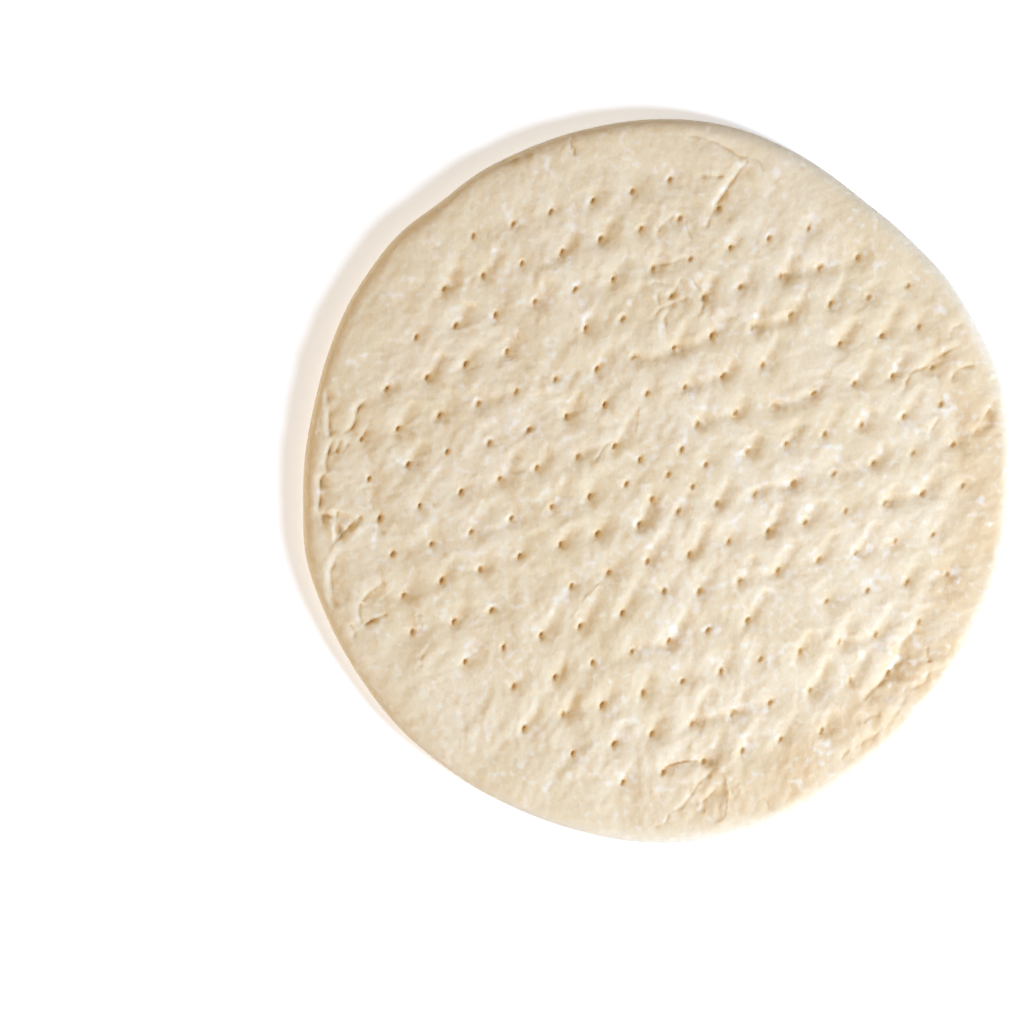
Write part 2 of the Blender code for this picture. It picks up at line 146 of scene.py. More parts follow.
# Creases, folds and ridges: depth, half width and lip, then the places that they run through.
# A lip stands on the steep side of a crease. Where it is negative, the other side is a raised fold.
creases = {
    "leftEdgeUpper": (2.1, 1.7, 0.7, [(-138.6, 40), (-137.9, 34), (-137.3, 30), (-137.4, 22),
                                      (-136.6, 18)]),
    "leftRimNick": (1.0, 1.2, 0.3, [(-141.1, 27), (-141.2, 22), (-142.5, 18.5)]),
    "leftEdgeMiddle": (2.0, 1.6, 0.7, [(-135.8, 18), (-138, 10.5), (-139, 7), (-138, 3)]),
    "leftEdgeLow": (2.0, 1.6, 0.7, [(-139.3, 3), (-141, 0), (-141.3, -7), (-141.6, -14.5)]),
    "leftLobe": (2.2, 1.8, 0.8, [(-144, -17), (-141.5, -14.5), (-137, -15.5), (-134, -19),
                                  (-134, -24), (-137, -28.5)]),
    "leftEdgeFoot": (1.9, 2.0, 0.7, [(-134, -29), (-135, -34), (-136.7, -39), (-136.5, -45),
                                     (-135.5, -52), (-134, -54)]),
    "leftPocket": (2.8, 2.0, -1.1, [(-134, -26), (-130.5, -21), (-126.5, -17), (-123.5, -15)]),
    "leftPocketSide": (1.8, 1.6, 0.6, [(-133.5, -12.5), (-134.5, -17), (-134, -23)]),
    "leftUpperCrease": (1.9, 1.6, 0.7, [(-120.5, 35), (-125, 30.5), (-126.5, 25.5),
                                        (-128, 22), (-132.5, 19)]),
    "leftHoleCrease": (1.1, 1.3, 0.3, [(-123.4, 18.5), (-122.1, 21), (-120, 24.5)]),
    "leftNick": (1.0, 1.0, 0.2, [(-132.5, 18), (-133.5, 14), (-135, 11.5)]),
    "leftSecondNick": (0.6, 1.0, 0.2, [(-129.5, 16.5), (-130.5, 13.5), (-132.5, 11)]),
    "leftSeam": (1.3, 2.8, 0.9, [(-124, -2), (-121, -7), (-118.5, -13), (-117, -19),
                                 (-113, -24)]),
    "leftLowCrease": (1.8, 1.7, 0.6, [(-114, -42.5), (-120, -47), (-124, -51.5)]),
    "leftLowTurn": (1.6, 1.6, 0.6, [(-123.5, -61), (-124.7, -55), (-124, -51)]),
    "leftLobeFoot": (1.1, 1.5, 0.4, [(-128.9, -59.6), (-126.8, -63.7), (-127.5, -67.8)]),
    "leftLowRidge": (1.3, 1.6, 0.4, [(-123.5, -61.5), (-118.5, -58.5), (-112.5, -56)]),
    "leftLobeCrest": (-1.1, 2.3, 0.0, [(-139.5, -15.5), (-137, -17), (-135.6, -22), (-135.4, -26),
                                       (-137, -30)]),
    "leftSeamCrest": (-1.0, 2.1, 0.0, [(-121.5, -9), (-119.5, -13), (-118, -17), (-118, -21),
                                       (-119.5, -26)]),
    "leftInnerFold": (0.6, 1.3, 0.2, [(-112, -47), (-114.7, -50), (-118, -52)]),
    "leftStroke": (-0.3, 0.5, 0.0, [(-101.5, -55), (-101, -59), (-99.8, -63)]),
    "leftSecondStroke": (-0.3, 0.5, 0.0, [(-99.3, -54.5), (-98.6, -58.5), (-97.6, -62)]),
    "leftThirdStroke": (-0.25, 0.5, 0.0, [(-96.6, -70), (-97.2, -73.5), (-99, -77)]),
    "topArc": (0.9, 1.4, 0.3, [(11.5, 145), (19, 143.8), (27.5, 140.5), (34.5, 136.3), (39, 135.5)]),
    "topCrease": (1.8, 1.7, 0.6, [(39, 135), (34.7, 129.7), (29.8, 122.7), (25.5, 115.7),
                                  (22.7, 110), (21, 104.5)]),
    "topRightArc": (0.7, 1.3, 0.2, [(39, 135.5), (42.5, 134.3), (44, 131.8), (45.3, 129)]),
    "topShortCrease": (0.7, 1.2, 0.2, [(17.8, 128.3), (22.7, 127.5), (29, 128)]),
    "topNotch": (1.0, 1.2, 0.3, [(-34.6, 145.5), (-35.8, 141.7), (-34.6, 139), (-34.8, 136)]),
    "starLong": (0.9, 1.2, 0.3, [(-2.5, 67.7), (2.5, 72), (8.7, 74.7), (14, 77.2)]),
    "starFoot": (0.8, 1.2, 0.3, [(4.9, 61), (3.5, 67), (4.5, 71.2)]),
    "starHead": (0.8, 1.2, 0.3, [(6, 75.8), (8, 80), (10.8, 85.2)]),
    "starArc": (0.9, 1.4, 0.3, [(19, 69.5), (19.6, 75), (18.8, 79.3), (16.4, 83), (12.9, 87.3)]),
    "starNick": (0.5, 1.0, 0.2, [(-2.8, 82), (-0.4, 83.1), (3.5, 82.6)]),
    "starSide": (0.6, 1.0, 0.2, [(1.4, 73), (0.7, 76.5), (0.3, 80.7)]),
    "upperGroove": (0.9, 1.8, 0.4, [(-1, 90.5), (5, 91), (11.5, 93.6)]),
    "upperValley": (0.7, 1.8, 0.3, [(-0.5, 101), (2.4, 107.3), (8.7, 111.5)]),
    "upperThread": (0.5, 1.0, 0.1, [(14.7, 101), (12.9, 106), (12.2, 110)]),
    "flapRim": (1.6, 3.2, -0.8, [(1.8, -124.9), (3.5, -121), (8.2, -119.3), (13, -118.2),
                                 (19, -118), (24.6, -119.3)]),
    "flapShoulder": (-0.7, 1.7, 0.0, [(22, -119.5), (24.6, -120.3), (27.6, -122.3), (31.5, -125.8),
                                      (35, -128.8), (37.6, -131.8)]),
    "flapSecondFold": (1.3, 2.0, 0.4, [(24.6, -120.6), (21.6, -124), (17.3, -128.4), (13.1, -134.4),
                                       (10.4, -137.4), (6.1, -139.6)]),
    "flapPocket": (1.9, 2.6, 0.4, [(27.6, -127), (23.3, -131.4), (18.6, -135.7), (17.3, -136.5),
                                   (20.8, -140)]),
    "flapSide": (-1.0, 2.0, 0.0, [(28, -123), (29, -124.9), (30.7, -129.6), (30.3, -134.4),
                                  (29.4, -140.4), (27.6, -143), (23.3, -144.3)]),
    "flapThread": (0.6, 1.1, 0.1, [(29.8, -125.7), (32, -131.8), (33.4, -133.6)]),
    "bottomNotch": (1.0, 1.4, 0.3, [(47.8, -139), (46.7, -136), (44.6, -132.7)]),
    "bottomFold": (1.0, 1.8, 0.4, [(81.4, -112.8), (78.9, -115.2), (76.7, -117.8)]),
    "bottomWave": (0.8, 1.6, 0.3, [(-2.3, -146), (3.6, -144), (5.7, -139)]),
    "rightCrease": (1.4, 1.4, 0.5, [(102.6, 36.5), (104.8, 40), (105.4, 42.5), (107.8, 45.5),
                                    (111.2, 46.8), (114.3, 48.3), (117, 51), (120.3, 52.7),
                                    (124.6, 55.2), (129.4, 56.3)]),
    "rightArc": (0.9, 1.6, 0.4, [(123.8, 40.4), (124.6, 43), (126.8, 46.4), (130.7, 48), (135, 48.3)]),
    "rightUpperArc": (0.8, 2.0, 0.3, [(122.9, 58.5), (123.8, 62), (126, 64.7), (131, 65.8)]),
    "rightRimNick": (0.8, 1.4, 0.4, [(140.6, 40), (142.7, 42), (145, 44.2)]),
    "rightEdgeGroove": (1.5, 2.4, 0.5, [(130.5, 17), (134.5, 21.4), (137.6, 26), (141, 31),
                                        (145, 35.2)]),
    "rightLowSeam": (0.8, 1.4, 0.3, [(114, 18.6), (115.6, 21), (117.5, 24), (119.4, 27)]),
    "lowerHollow": (1.6, 2.8, 0.3, [(98, -73), (101.5, -69.7), (106.7, -65), (110, -60.6)]),
    "lowerGroove": (1.7, 2.8, 0.5, [(86.5, -93.5), (90, -89), (94.7, -84.8), (97.6, -80.3),
                                    (100.6, -78.3), (105, -75.7)]),
    "lowerRimGroove": (1.3, 2.6, 0.6, [(106, -89), (101.4, -97.5), (96.4, -104.2), (91.3, -107.2),
                                       (86.2, -110.6), (78, -115.5)]),
    "lowerRimCrease": (1.3, 2.0, 0.7, [(105, -88.7), (109.3, -87), (113, -84.4), (114.4, -81.4),
                                       (118.7, -80), (124, -77.5)]),
    "lowerSeam": (0.8, 1.3, 0.3, [(115, -76.6), (113.6, -74), (114, -69.3)]),
    "lowerNick": (0.7, 1.3, 0.3, [(122.2, -74), (124, -69.7)]),
    "lowerShade": (1.3, 2.5, 0.3, [(86.8, -102.5), (89.8, -99.5), (94.6, -98.6)]),
    "upperLeftEdge": (1.0, 1.5, 0.3, [(-41.4, 140.3), (-54, 136.6), (-67.2, 131.4)]),
    "centreThread": (-0.35, 0.7, 0.0, [(-6.7, 31.3), (-7.6, 24), (-8.4, 17)]),
    "centreHook": (0.7, 1.4, 0.3, [(-26.6, 6), (-24, 10.6), (-21, 14.8), (-17.3, 17)]),
    "floorScratch": (-0.3, 0.6, 0.0, [(-36.5, -60), (-30, -50), (-21, -41)]),
}

creaseLook = {
    "spanSteps": 6,
    "fade": 0.22,                 # share of its length over which a crease fades at each end
    "reach": 12.0,                # how far to its sides a crease can be felt
    "wander": 0.35,
    "wanderLength": 5.0,
    "evenness": (0.8, 0.9),       # the mean of its depth along the line, and how much that wavers
    "evenLength": 4.5,
    "groovePower": 1.5,           # 1 would give a pointed groove and 2 a round one
    "lineWidth": 0.38,            # half width of the sharp line at the bottom of a crease
    "lineShare": 0.32,            # share of its depth that the sharp line takes
    "lineUpTo": 1.5,              # wider creases than this lose their sharp line
    "shadeWidth": 0.62,           # half width of the painted shade, a browner colour, along the line
    "shadeDepth": 1.5,            # a crease of this depth has all of that painted shade
    "slowTurn": -33.0,            # the side towards this is slow, and the other side is steep
    "sideBlur": 0.4,
    "sideNear": 0.3,              # nearer to the line than this, the two sides run together
    "depthShare": 0.95,
    "steepWidth": 0.75,           # widths of both sides, as shares of the crease's half width
    "slowWidth": 2.5,
    "lipShare": 0.5,
    "lipPlace": 2.0,              # place and width of a lip, in half widths of its crease
    "lipWidth": 1.6,
    "foldReach": 6.0,             # how far a raised fold takes to sink back
}


def smoothShare(value, low, high):
    share = np.clip((value - low) / (high - low), 0.0, 1.0)
    return share * share * (3.0 - 2.0 * share)


def noiseAt(points, length, turn=0.0, stretch=1.0):
    # smooth noise over flat places, with its grain turned and stretched; about -0.5 to 0.5
    # (a number of hundreds added to the places picks another part of the same noise)
    turned = math.radians(turn)
    x = points[:, 0] * math.cos(turned) + points[:, 1] * math.sin(turned)
    y = points[:, 1] * math.cos(turned) - points[:, 0] * math.sin(turned)
    spots = zip((x / stretch / length).tolist(), (y / length).tolist())
    return np.array([noise.noise((a, b, 0.0)) for a, b in spots])


def puffs(points, length, stretch):
    # rounded swellings that meet in creased valleys, like skin over soft dough
    warp = [noiseAt(points + shift, relief["warpLength"]) for shift in (100.0, -100.0)]
    moved = points + np.stack(warp, axis=1) * relief["warpReach"]
    value = noiseAt(moved, length, relief["wrinkleTurn"], stretch)
    return np.sqrt(value * value + relief["creaseRounding"] ** 2) - relief["puffMiddle"]


def outlineRadius(angles):
    # distance from the centre to the widest line of the edge
    degrees = np.degrees(angles)
    radius = np.full(len(angles), base["diameter"] / 2)
    for direction, spread, rise in base["swells"]:
        away = (degrees - direction + 180.0) % 360.0 - 180.0
        radius += rise * np.exp(-((away / spread) ** 2))
    ring = base["diameter"] / 2 / base["waverLength"]
    around = np.array([noise.noise((math.cos(a) * ring, math.sin(a) * ring, 0.0)) for a in angles])
    return radius + base["waver"] * around


def patternToDough(column, row):
    # the dockers' square pattern, a little bowed by the stretch of the dough
    turn = math.radians(pins["turn"])
    x = (column * math.cos(turn) - row * math.sin(turn)) * pins["pitch"]
    y = (column * math.sin(turn) + row * math.cos(turn)) * pins["pitch"]
    y -= pins["rowBow"] * column * column + pins["columnBow"] * row * (row - column)
    return np.array([x + pins["centre"][0], y + pins["centre"][1]])


def pinList():
    draws = random.Random(pins["seed"])
    finer = random.Random(pins["finerSeed"])
    steps = range(-pins["gridSteps"], pins["gridSteps"] + 1)
    hollowSpread, holeSpread = pins["hollowTurnSpread"], pins["holeTurnSpread"]
    found = {}
    for step in [(a, b) for b in steps for a in steps] + pins["middleFour"] + pins["strays"]:
        scatter = np.array([draws.uniform(-1, 1), draws.uniform(-1, 1)]) * pins["scatter"]
        depth = draws.uniform(*pins["hollowDepth"])
        if step in pins["missing"] or math.hypot(*step) * pins["pitch"] >= pins["fieldRadius"]:
            continue
        found[step] = {
            "place": patternToDough(*step) + scatter,
            "depth": depth,
            "hollowTurn": math.radians(pins["hollowTurn"] + finer.uniform(-hollowSpread, hollowSpread)),
            "holeTurn": math.radians(pins["holeTurn"] + finer.uniform(-holeSpread, holeSpread)),
            "holeSize": finer.uniform(*pins["holeSizes"]),
        }
    return found


def smoothLine(places, wander):
    # a curve through the places, with a slight wander
    places = [places[0], *places, places[-1]]
    line = []
    for before, start, end, after in zip(places, places[1:], places[2:], places[3:]):
        for step in range(creaseLook["spanSteps"]):
            t = step / creaseLook["spanSteps"]
            line.append([
                0.5 * (2 * b + (c - a) * t + (2 * a - 5 * b + 4 * c - d) * t * t
                       + (3 * b - a - 3 * c + d) * t ** 3)
                for a, b, c, d in zip(before, start, end, after)
            ])
    line = np.array(line + [list(places[-1])], float)
    shift = [noiseAt(line + 50 * (axis + 1), creaseLook["wanderLength"]) for axis in range(2)]
    return line + wander * np.array(shift).T


def creaseLines():
    lines = []
    for depth, halfWidth, lip, places in creases.values():
        lines.append((smoothLine(places, creaseLook["wander"]), depth, halfWidth, lip))
    return lines


def linkLines(found):
    # soft grooves from hole to hole along a row, and short ones from a hole up its diagonal
    draws = random.Random(pins["finerSeed"] + 1)
    lines = []
    for (column, row), pin in found.items():
        start = pin["place"]
        toRight = float(smoothShare(start[0], *base["rightSpan"]))
        for chances, rowStep in ((relief["linkChance"], 0), (relief["pullChance"], 1)):
            neighbour = found.get((column + 1, row + rowStep))
            chance = draws.random()
            sag = draws.uniform(*relief["linkSag"])
            depth = draws.uniform(*relief["linkDepth"])
            share = draws.uniform(*relief["pullShare"])
            back = draws.uniform(*relief["pullBack"])
            if neighbour is None or chance > chances[0] + (chances[1] - chances[0]) * toRight:
                continue
            way = neighbour["place"] - start
            first = start - rowStep * back * way
            last = start + (share if rowStep else 1.0) * way
            middle = (first + last) / 2 + np.array([0.0, sag])
            line = smoothLine([tuple(first), tuple(middle), tuple(last)], relief["linkWander"])
            lines.append((line, depth))
    return lines


def besideLine(points, line):
    # how far each point is from a line, on its slow side (1) or its steep side (0), and how far along
    away = np.full(len(points), np.inf)
    slowness, share = np.zeros(len(points)), np.zeros(len(points))
    turn = math.radians(creaseLook["slowTurn"])
    slowWay = np.array([math.cos(turn), math.sin(turn)])
    for index in range(len(line) - 1):
        start, step = line[index], line[index + 1] - line[index]
        part = np.clip((points - start) @ step / (step @ step), 0.0, 1.0)
        offset = points - start - part[:, None] * step
        length = np.hypot(offset[:, 0], offset[:, 1])
        nearer = length < away
        away[nearer] = length[nearer]
        slowness[nearer] = (offset @ slowWay / np.maximum(length, creaseLook["sideNear"]))[nearer]
        share[nearer] = (index + part[nearer]) / (len(line) - 1)
    return away, smoothShare(slowness, -creaseLook["sideBlur"], creaseLook["sideBlur"]), share


def nearLine(points, line, reach):
    low, high = line.min(axis=0) - reach, line.max(axis=0) + reach
    return np.flatnonzero(((points > low) & (points < high)).all(axis=1))


doughPins = pinList()
doughCreases = creaseLines()
doughLinks = linkLines(doughPins)
print(f"{len(doughPins)} pins, {len(doughCreases)} creases, {len(doughLinks)} grooves between pins")


def pinRelief(points):
    # the hollows that the pins pulled down, and the share of a hole's depth at each place
    # (they are added as cubes, so that the deeper one wins where two meet)
    drop, hole = np.zeros(len(points)), np.zeros(len(points))
    for pin in doughPins.values():
        away = points - pin["place"]
        near = np.flatnonzero(np.hypot(away[:, 0], away[:, 1]) < 2 * pins["pitch"])
        away = away[near]
        turn = pin["hollowTurn"]
        along = (away - pins["hollowShift"]) @ np.array([math.cos(turn), math.sin(turn)])
        across = (away - pins["hollowShift"]) @ np.array([-math.sin(turn), math.cos(turn)])
        width = np.where(across > 0, pins["hollowSteep"], pins["hollowGentle"])
        reach = (along / pins["hollowLength"]) ** 2 + (across / width) ** 2
        drop[near] += (pins["hollowShare"] * pin["depth"] * np.exp(-reach)) ** 3
        turn = pin["holeTurn"]
        along = away @ np.array([math.cos(turn), math.sin(turn)]) / pins["holeLength"]
        along = np.where(along < 0, along / pins["holeTail"], along)
        across = away @ np.array([-math.sin(turn), math.cos(turn)])
        across /= np.where(across > 0, *pins["holeWidth"])
        reach = np.hypot(along, across) / pin["holeSize"]
        hole[near] = np.maximum(hole[near], np.exp(-((reach / pins["holeCore"]) ** 2)))
    return -np.cbrt(drop), hole


def holeDrop(points, hole):
    # how far the holes reach down: a little less on the right, where the dough had risen less
    left, right = pins["holeDepth"]
    return hole * (left + (right - left) * smoothShare(points[:, 0], *base["rightSpan"]))


def creaseRelief(points):
    # heights of the creases and their lips, and how near each place is to a sharp line, which gets
    # painted shade
    height, sharp = np.zeros(len(points)), np.zeros(len(points))
    steep, slow = creaseLook["steepWidth"], creaseLook["slowWidth"]
    mean, waver = creaseLook["evenness"]
    for line, depth, halfWidth, lip in doughCreases:
        near = nearLine(points, line, creaseLook["reach"])
        away, slowSide, share = besideLine(points[near], line)
        fade = smoothShare(np.minimum(share, 1.0 - share), 0.0, creaseLook["fade"])
        fade *= mean + waver * noiseAt(points[near] + 700.0, creaseLook["evenLength"])
        narrow = min(1.0, creaseLook["lineUpTo"] / halfWidth) ** 2
        mix = creaseLook["lineShare"] * narrow
        if lip < 0:
            width = halfWidth * steep
            raised = -lip * slowSide * np.exp(-((away / creaseLook["foldReach"]) ** 2))
        else:
            width = halfWidth * (steep + (slow - steep) * slowSide)
            fromLip = (away / halfWidth - creaseLook["lipPlace"]) / creaseLook["lipWidth"]
            raised = creaseLook["lipShare"] * lip * (1.0 - slowSide) * np.exp(-(fromLip ** 2))
        groove = (1.0 - mix) * np.exp(-((away / width) ** creaseLook["groovePower"]))
        groove += mix * np.exp(-away / creaseLook["lineWidth"])
        height[near] += fade * (raised - creaseLook["depthShare"] * depth * groove)
        if depth > 0:
            shade = fade * narrow * min(1.0, depth / creaseLook["shadeDepth"])
            shade *= np.exp(-((away / creaseLook["shadeWidth"]) ** 2))
            sharp[near] = np.maximum(sharp[near], shade)
    for line, depth in doughLinks:
        near = nearLine(points, line, creaseLook["reach"])
        away, slowSide, share = besideLine(points[near], line)
        fade = smoothShare(np.minimum(share, 1.0 - share), 0.0, relief["linkFade"])
        width = relief["linkSteep"] + (relief["linkSlow"] - relief["linkSteep"]) * slowSide
        height[near] -= depth * fade * np.exp(-((away / width) ** 2))
    return height, sharp


toastAndShade = {
    "turn": -33.0,                # the side that is browner: partly a little more baked, partly painted shade on the side nearest the key light
    "span": (-60.0, 130.0),
    "rimSpan": (40.0, 110.0),     # where a browner strip follows the edge
    "rimStrip": (0.76, 0.88, 0.95, 0.995),
    "shares": (0.08, 0.55),       # how strongly it is browned all over and along that strip
    "patches": (0.8, 0.8),        # mean of that strip's strength, and how much it wavers
    "patchLength": 17.0,
}


def toastAndShadeAt(points):
    # how browned the upper face is at each place, partly as painted shade, and where the browner strip
    # is
    turn = math.radians(toastAndShade["turn"])
    towards = points @ np.array([math.cos(turn), math.sin(turn)])
    share = np.hypot(points[:, 0], points[:, 1]) / (base["diameter"] / 2)
    start, full, fall, end = toastAndShade["rimStrip"]
    strip = smoothShare(share, start, full) * (1.0 - smoothShare(share, fall, end))
    mean, waver = toastAndShade["patches"]
    patches = mean + waver * noiseAt(points, toastAndShade["patchLength"])
    strip *= smoothShare(towards, *toastAndShade["rimSpan"]) * patches
    allOver, along = toastAndShade["shares"]
    return allOver * smoothShare(towards, *toastAndShade["span"]) + along * strip, strip


def topSurface(points):
    # height of the upper face, and how much each place is of a hole, a sharp crease and a valley
    reach = np.hypot(points[:, 0], points[:, 1])
    share = reach / outlineRadius(np.arctan2(points[:, 1], points[:, 0]))
    band = smoothShare(share, base["bandStart"], base["bandFull"])
    height = base["crownHeight"] + base["bandRise"] * band
    height += relief["blisterHeight"] * noiseAt(points, relief["blisterLength"])
    height += relief["wrinkleHeight"] * noiseAt(
        points, relief["wrinkleLength"], relief["wrinkleTurn"], relief["wrinkleStretch"])
    strength = 1.0 - relief["bandCalm"] * smoothShare(share, *relief["bandSpan"])
    strength -= relief["rightCalm"] * smoothShare(points[:, 0], *base["rightSpan"])
    _, strip = toastAndShadeAt(points)
    rough = strength + relief["crumple"] * np.clip(strip, 0.0, 1.0)
    puff = puffs(points + 500.0, relief["puffLength"], relief["puffStretch"])
    pucker = puffs(points + 300.0, relief["puckerLength"], relief["puckerStretch"])
    pebble = noiseAt(points - 300.0, relief["pebbleLength"])
    height += strength * (relief["puffHeight"] * puff + relief["pebbleHeight"] * pebble)
    height += rough * relief["puckerHeight"] * pucker
    hollow, hole = pinRelief(points)
    folds, sharp = creaseRelief(points)
    # valleys get a moister, darker colour, which is partly painted shade
    between = relief["valleyPuffs"] * relief["puffHeight"] * puff
    valley = smoothShare(-hollow - folds - between, *relief["valleySpan"])
    return height + hollow + folds, hole, sharp, valley


flour = {
    "clusters": 290,              # flour lies in small clusters
    "clusterReach": (1.6, 3.6),
    "clusterStretch": 1.8,
    "clusterTurns": (30.0, 110.0),
    "clusterStrength": (0.35, 1.0),
    "fieldRadius": 141.0,
    "evenChance": 0.6,            # how often a place at the middle gets a cluster
    "leanReach": 200.0,           # where y - x comes to this, every place gets one
    "besidePins": 0.45,           # share of the clusters that lie beside a hole
    "besideTurns": (-60.0, 70.0),
    "besideReach": (2.6, 5.5),
    "grains": 500,                # small hard grains
    "grainSize": (0.08, 0.2),
    "grainSpread": 1.8,
    "grainStretch": (1.0, 1.8),
    "grainWaver": (0.8, 1.15),
    "grainFlat": 0.5,
    "seed": 67,
}


def flourPlaces():
    # more flour on the upper left and beside the holes
    draws = random.Random(flour["seed"])
    chosen = []
    allPins = list(doughPins.values())
    even = flour["evenChance"]
    while len(chosen) < flour["clusters"]:
        if draws.random() < flour["besidePins"]:
            pin = draws.choice(allPins)["place"]
            turn = math.radians(draws.uniform(*flour["besideTurns"]))
            away = draws.uniform(*flour["besideReach"])
            chosen.append((pin[0] + away * math.cos(turn), pin[1] + away * math.sin(turn)))
            continue
        reach = flour["fieldRadius"] * math.sqrt(draws.random())
        turn = draws.uniform(0, math.tau)
        place = (reach * math.cos(turn), reach * math.sin(turn))
        towardsUpperLeft = (place[1] - place[0]) / flour["leanReach"]
        if draws.random() < even + (1.0 - even) * towardsUpperLeft:
            chosen.append(place)
    return chosen


flourClusters = flourPlaces()


def dustAt(points):
    # how thickly flour lies at each place, 0 to 1
    draws = random.Random(flour["seed"] + 1)
    dust = np.zeros(len(points))
    for x, y in flourClusters:
        reach = draws.uniform(*flour["clusterReach"])
        turn = math.radians(draws.uniform(*flour["clusterTurns"]))
        strength = draws.uniform(*flour["clusterStrength"])
        away = points - np.array([x, y])
        near = np.flatnonzero(np.abs(away).max(axis=1) < 3 * flour["clusterReach"][1])
        along = away[near] @ np.array([math.cos(turn), math.sin(turn)]) / flour["clusterStretch"]
        across = away[near] @ np.array([-math.sin(turn), math.cos(turn)])
        thick = strength * np.exp(-(along ** 2 + across ** 2) / reach ** 2)
        dust[near] = np.maximum(dust[near], thick)
    return dust


def roundPlaces(verts):
    # squares of the grid become rings that follow the outline; 1 is the outermost ring
    flat = np.array([vert.co.xy for vert in verts])
    x, y = flat[:, 0], flat[:, 1]
    wide = np.abs(x) >= np.abs(y)
    ring = np.where(wide, x, y)
    safe = np.where(np.abs(ring) < 1e-9, 1.0, ring)
    angle = np.where(wide, math.pi / 4 * y / safe, math.pi / 2 - math.pi / 4 * x / safe)
    return np.stack([ring * np.cos(angle), ring * np.sin(angle)], axis=1)


def laySheet(mesh, cells, inset):
    # a flat round sheet of evenly sized cells, this far inside the outline
    verts = bmesh.ops.create_grid(mesh, x_segments=cells, y_segments=cells, size=1.0)["verts"]
    places = roundPlaces(verts)
    reach = outlineRadius(np.arctan2(places[:, 1], places[:, 0])) - inset
    for vert, place in zip(verts, places * reach[:, None]):
        vert.co = (place[0], place[1], 0.0)
    return verts


def refineSheet(mesh, reach, places, lines, lineReach):
    # split the cells near holes and creases, so that these stay sharp
    edges = list(mesh.edges)
    middles = np.array([(edge.verts[0].co.xy + edge.verts[1].co.xy) / 2 for edge in edges])
    near = np.zeros(len(edges), bool)
    for place in places:
        near |= np.hypot(*(middles - place).T) < reach
    for line in lines:
        close = nearLine(middles, line, lineReach)
        away, _, _ = besideLine(middles[close], line)
        near[close[away < lineReach]] = True
    chosen = [edge for edge, wanted in zip(edges, near) if wanted and not edge.is_boundary]
    bmesh.ops.subdivide_edges(mesh, edges=chosen, cuts=1, use_grid_fill=True)


def rollEdge(mesh):
    # rows down the rolled edge: each is an inset from the outline and a share of the height
    rows = []
    for row in range(1, base["upperRows"] + 1):
        turn = math.radians(90) * (1 - row / base["upperRows"])
        rows.append((base["edgeRound"] * (1 - math.cos(turn)), math.sin(turn)))
    for row in range(1, base["lowerRows"] + 1):
        turn = math.radians(90) * row / base["lowerRows"]
        rows.append((base["footInset"] * (1 - math.cos(turn)), -math.sin(turn)))
    level = mesh.verts.layers.float["level"]
    edges = [edge for edge in mesh.edges if edge.is_boundary]
    for inset, share in rows:
        made = bmesh.ops.extrude_edge_only(mesh, edges=edges)["geom"]
        verts = [item for item in made if isinstance(item, bmesh.types.BMVert)]
        known = set(verts)
        edges = [edge for edge in mesh.edges if edge.is_boundary and known.issuperset(edge.verts)]
        angles = np.array([math.atan2(vert.co.y, vert.co.x) for vert in verts])
        reach = outlineRadius(angles) - inset
        for vert, angle, radius in zip(verts, angles, reach):
            vert.co.x, vert.co.y = math.cos(angle) * radius, math.sin(angle) * radius
            vert[level] = share - 2.0
    return edges


def closeUnderside(mesh, footEdges):
    level = mesh.verts.layers.float["level"]
    verts = laySheet(mesh, base["undersideCells"], base["footInset"] + base["undersideGap"])
    for vert in verts:
        vert[level] = -4.0
    own = set(verts)
    innerEdges = [edge for edge in mesh.edges if edge.is_boundary and own.issuperset(edge.verts)]
    bmesh.ops.triangle_fill(mesh, use_beauty=True, edges=footEdges + innerEdges, normal=(0, 0, -1))


# what each place of the dough tells its material
doughLayers = ("hole", "crease", "valley", "dust", "toastAndShade", "rolled", "underside")


def setHeights(mesh):
    # level 0 is the upper face, -1 to -3 the rolled edge and -4 the underside
    level = mesh.verts.layers.float["level"]
    verts = list(mesh.verts)
    flat = np.array([vert.co.xy for vert in verts])
    levels = np.array([vert[level] for vert in verts])
    rolled = (levels < -0.5) & (levels > -3.5)
    under = levels < -3.5
    share = levels + 2.0          # up or down the rolled edge, from its widest line

    height, hole, crease, valley = topSurface(flat)
    widest = base["widestHeight"]
    height = np.where(rolled, widest + np.where(share > 0, height - widest, widest) * share, height)
    height -= np.where(levels == 0.0, holeDrop(flat, hole), 0.0)
    toRim = np.hypot(flat[:, 0], flat[:, 1]) / (base["diameter"] / 2)
    lift = base["underRise"] + sum(rise * noiseAt(flat, length) for rise, length in base["underWaves"])
    lift *= 1.0 - smoothShare(toRim, *base["underFlat"])
    height[under] = np.maximum(lift[under], 0.0)

    fadeDown = np.where(rolled, np.clip(share, 0.0, 1.0), 1.0 - under)
    browningAndShade, _ = toastAndShadeAt(flat)
    felt = {
        "hole": hole * fadeDown,
        "crease": crease * fadeDown,
        "valley": valley * fadeDown,
        "dust": dustAt(flat) * (1.0 - under),
        "toastAndShade": browningAndShade * fadeDown,
        "rolled": rolled * (1.0 - np.maximum(share, 0.0) ** 2),
        "underside": under * 1.0,
    }
    for vert, z in zip(verts, height):
        vert.co.z = z
    for name in doughLayers:
        layer = mesh.verts.layers.float[name]
        for vert, value in zip(verts, felt[name]):
            vert[layer] = value


def centring():
    # the solid is centred on its own box, so the outline's middle is moved to the origin
    angles = np.linspace(-math.pi, math.pi, 720, endpoint=False)
    rim = np.stack([np.cos(angles), np.sin(angles)], axis=1) * outlineRadius(angles)[:, None]
    middle = (rim.min(axis=0) + rim.max(axis=0)) / 2
    return Vector((-middle[0], -middle[1], 0.0))


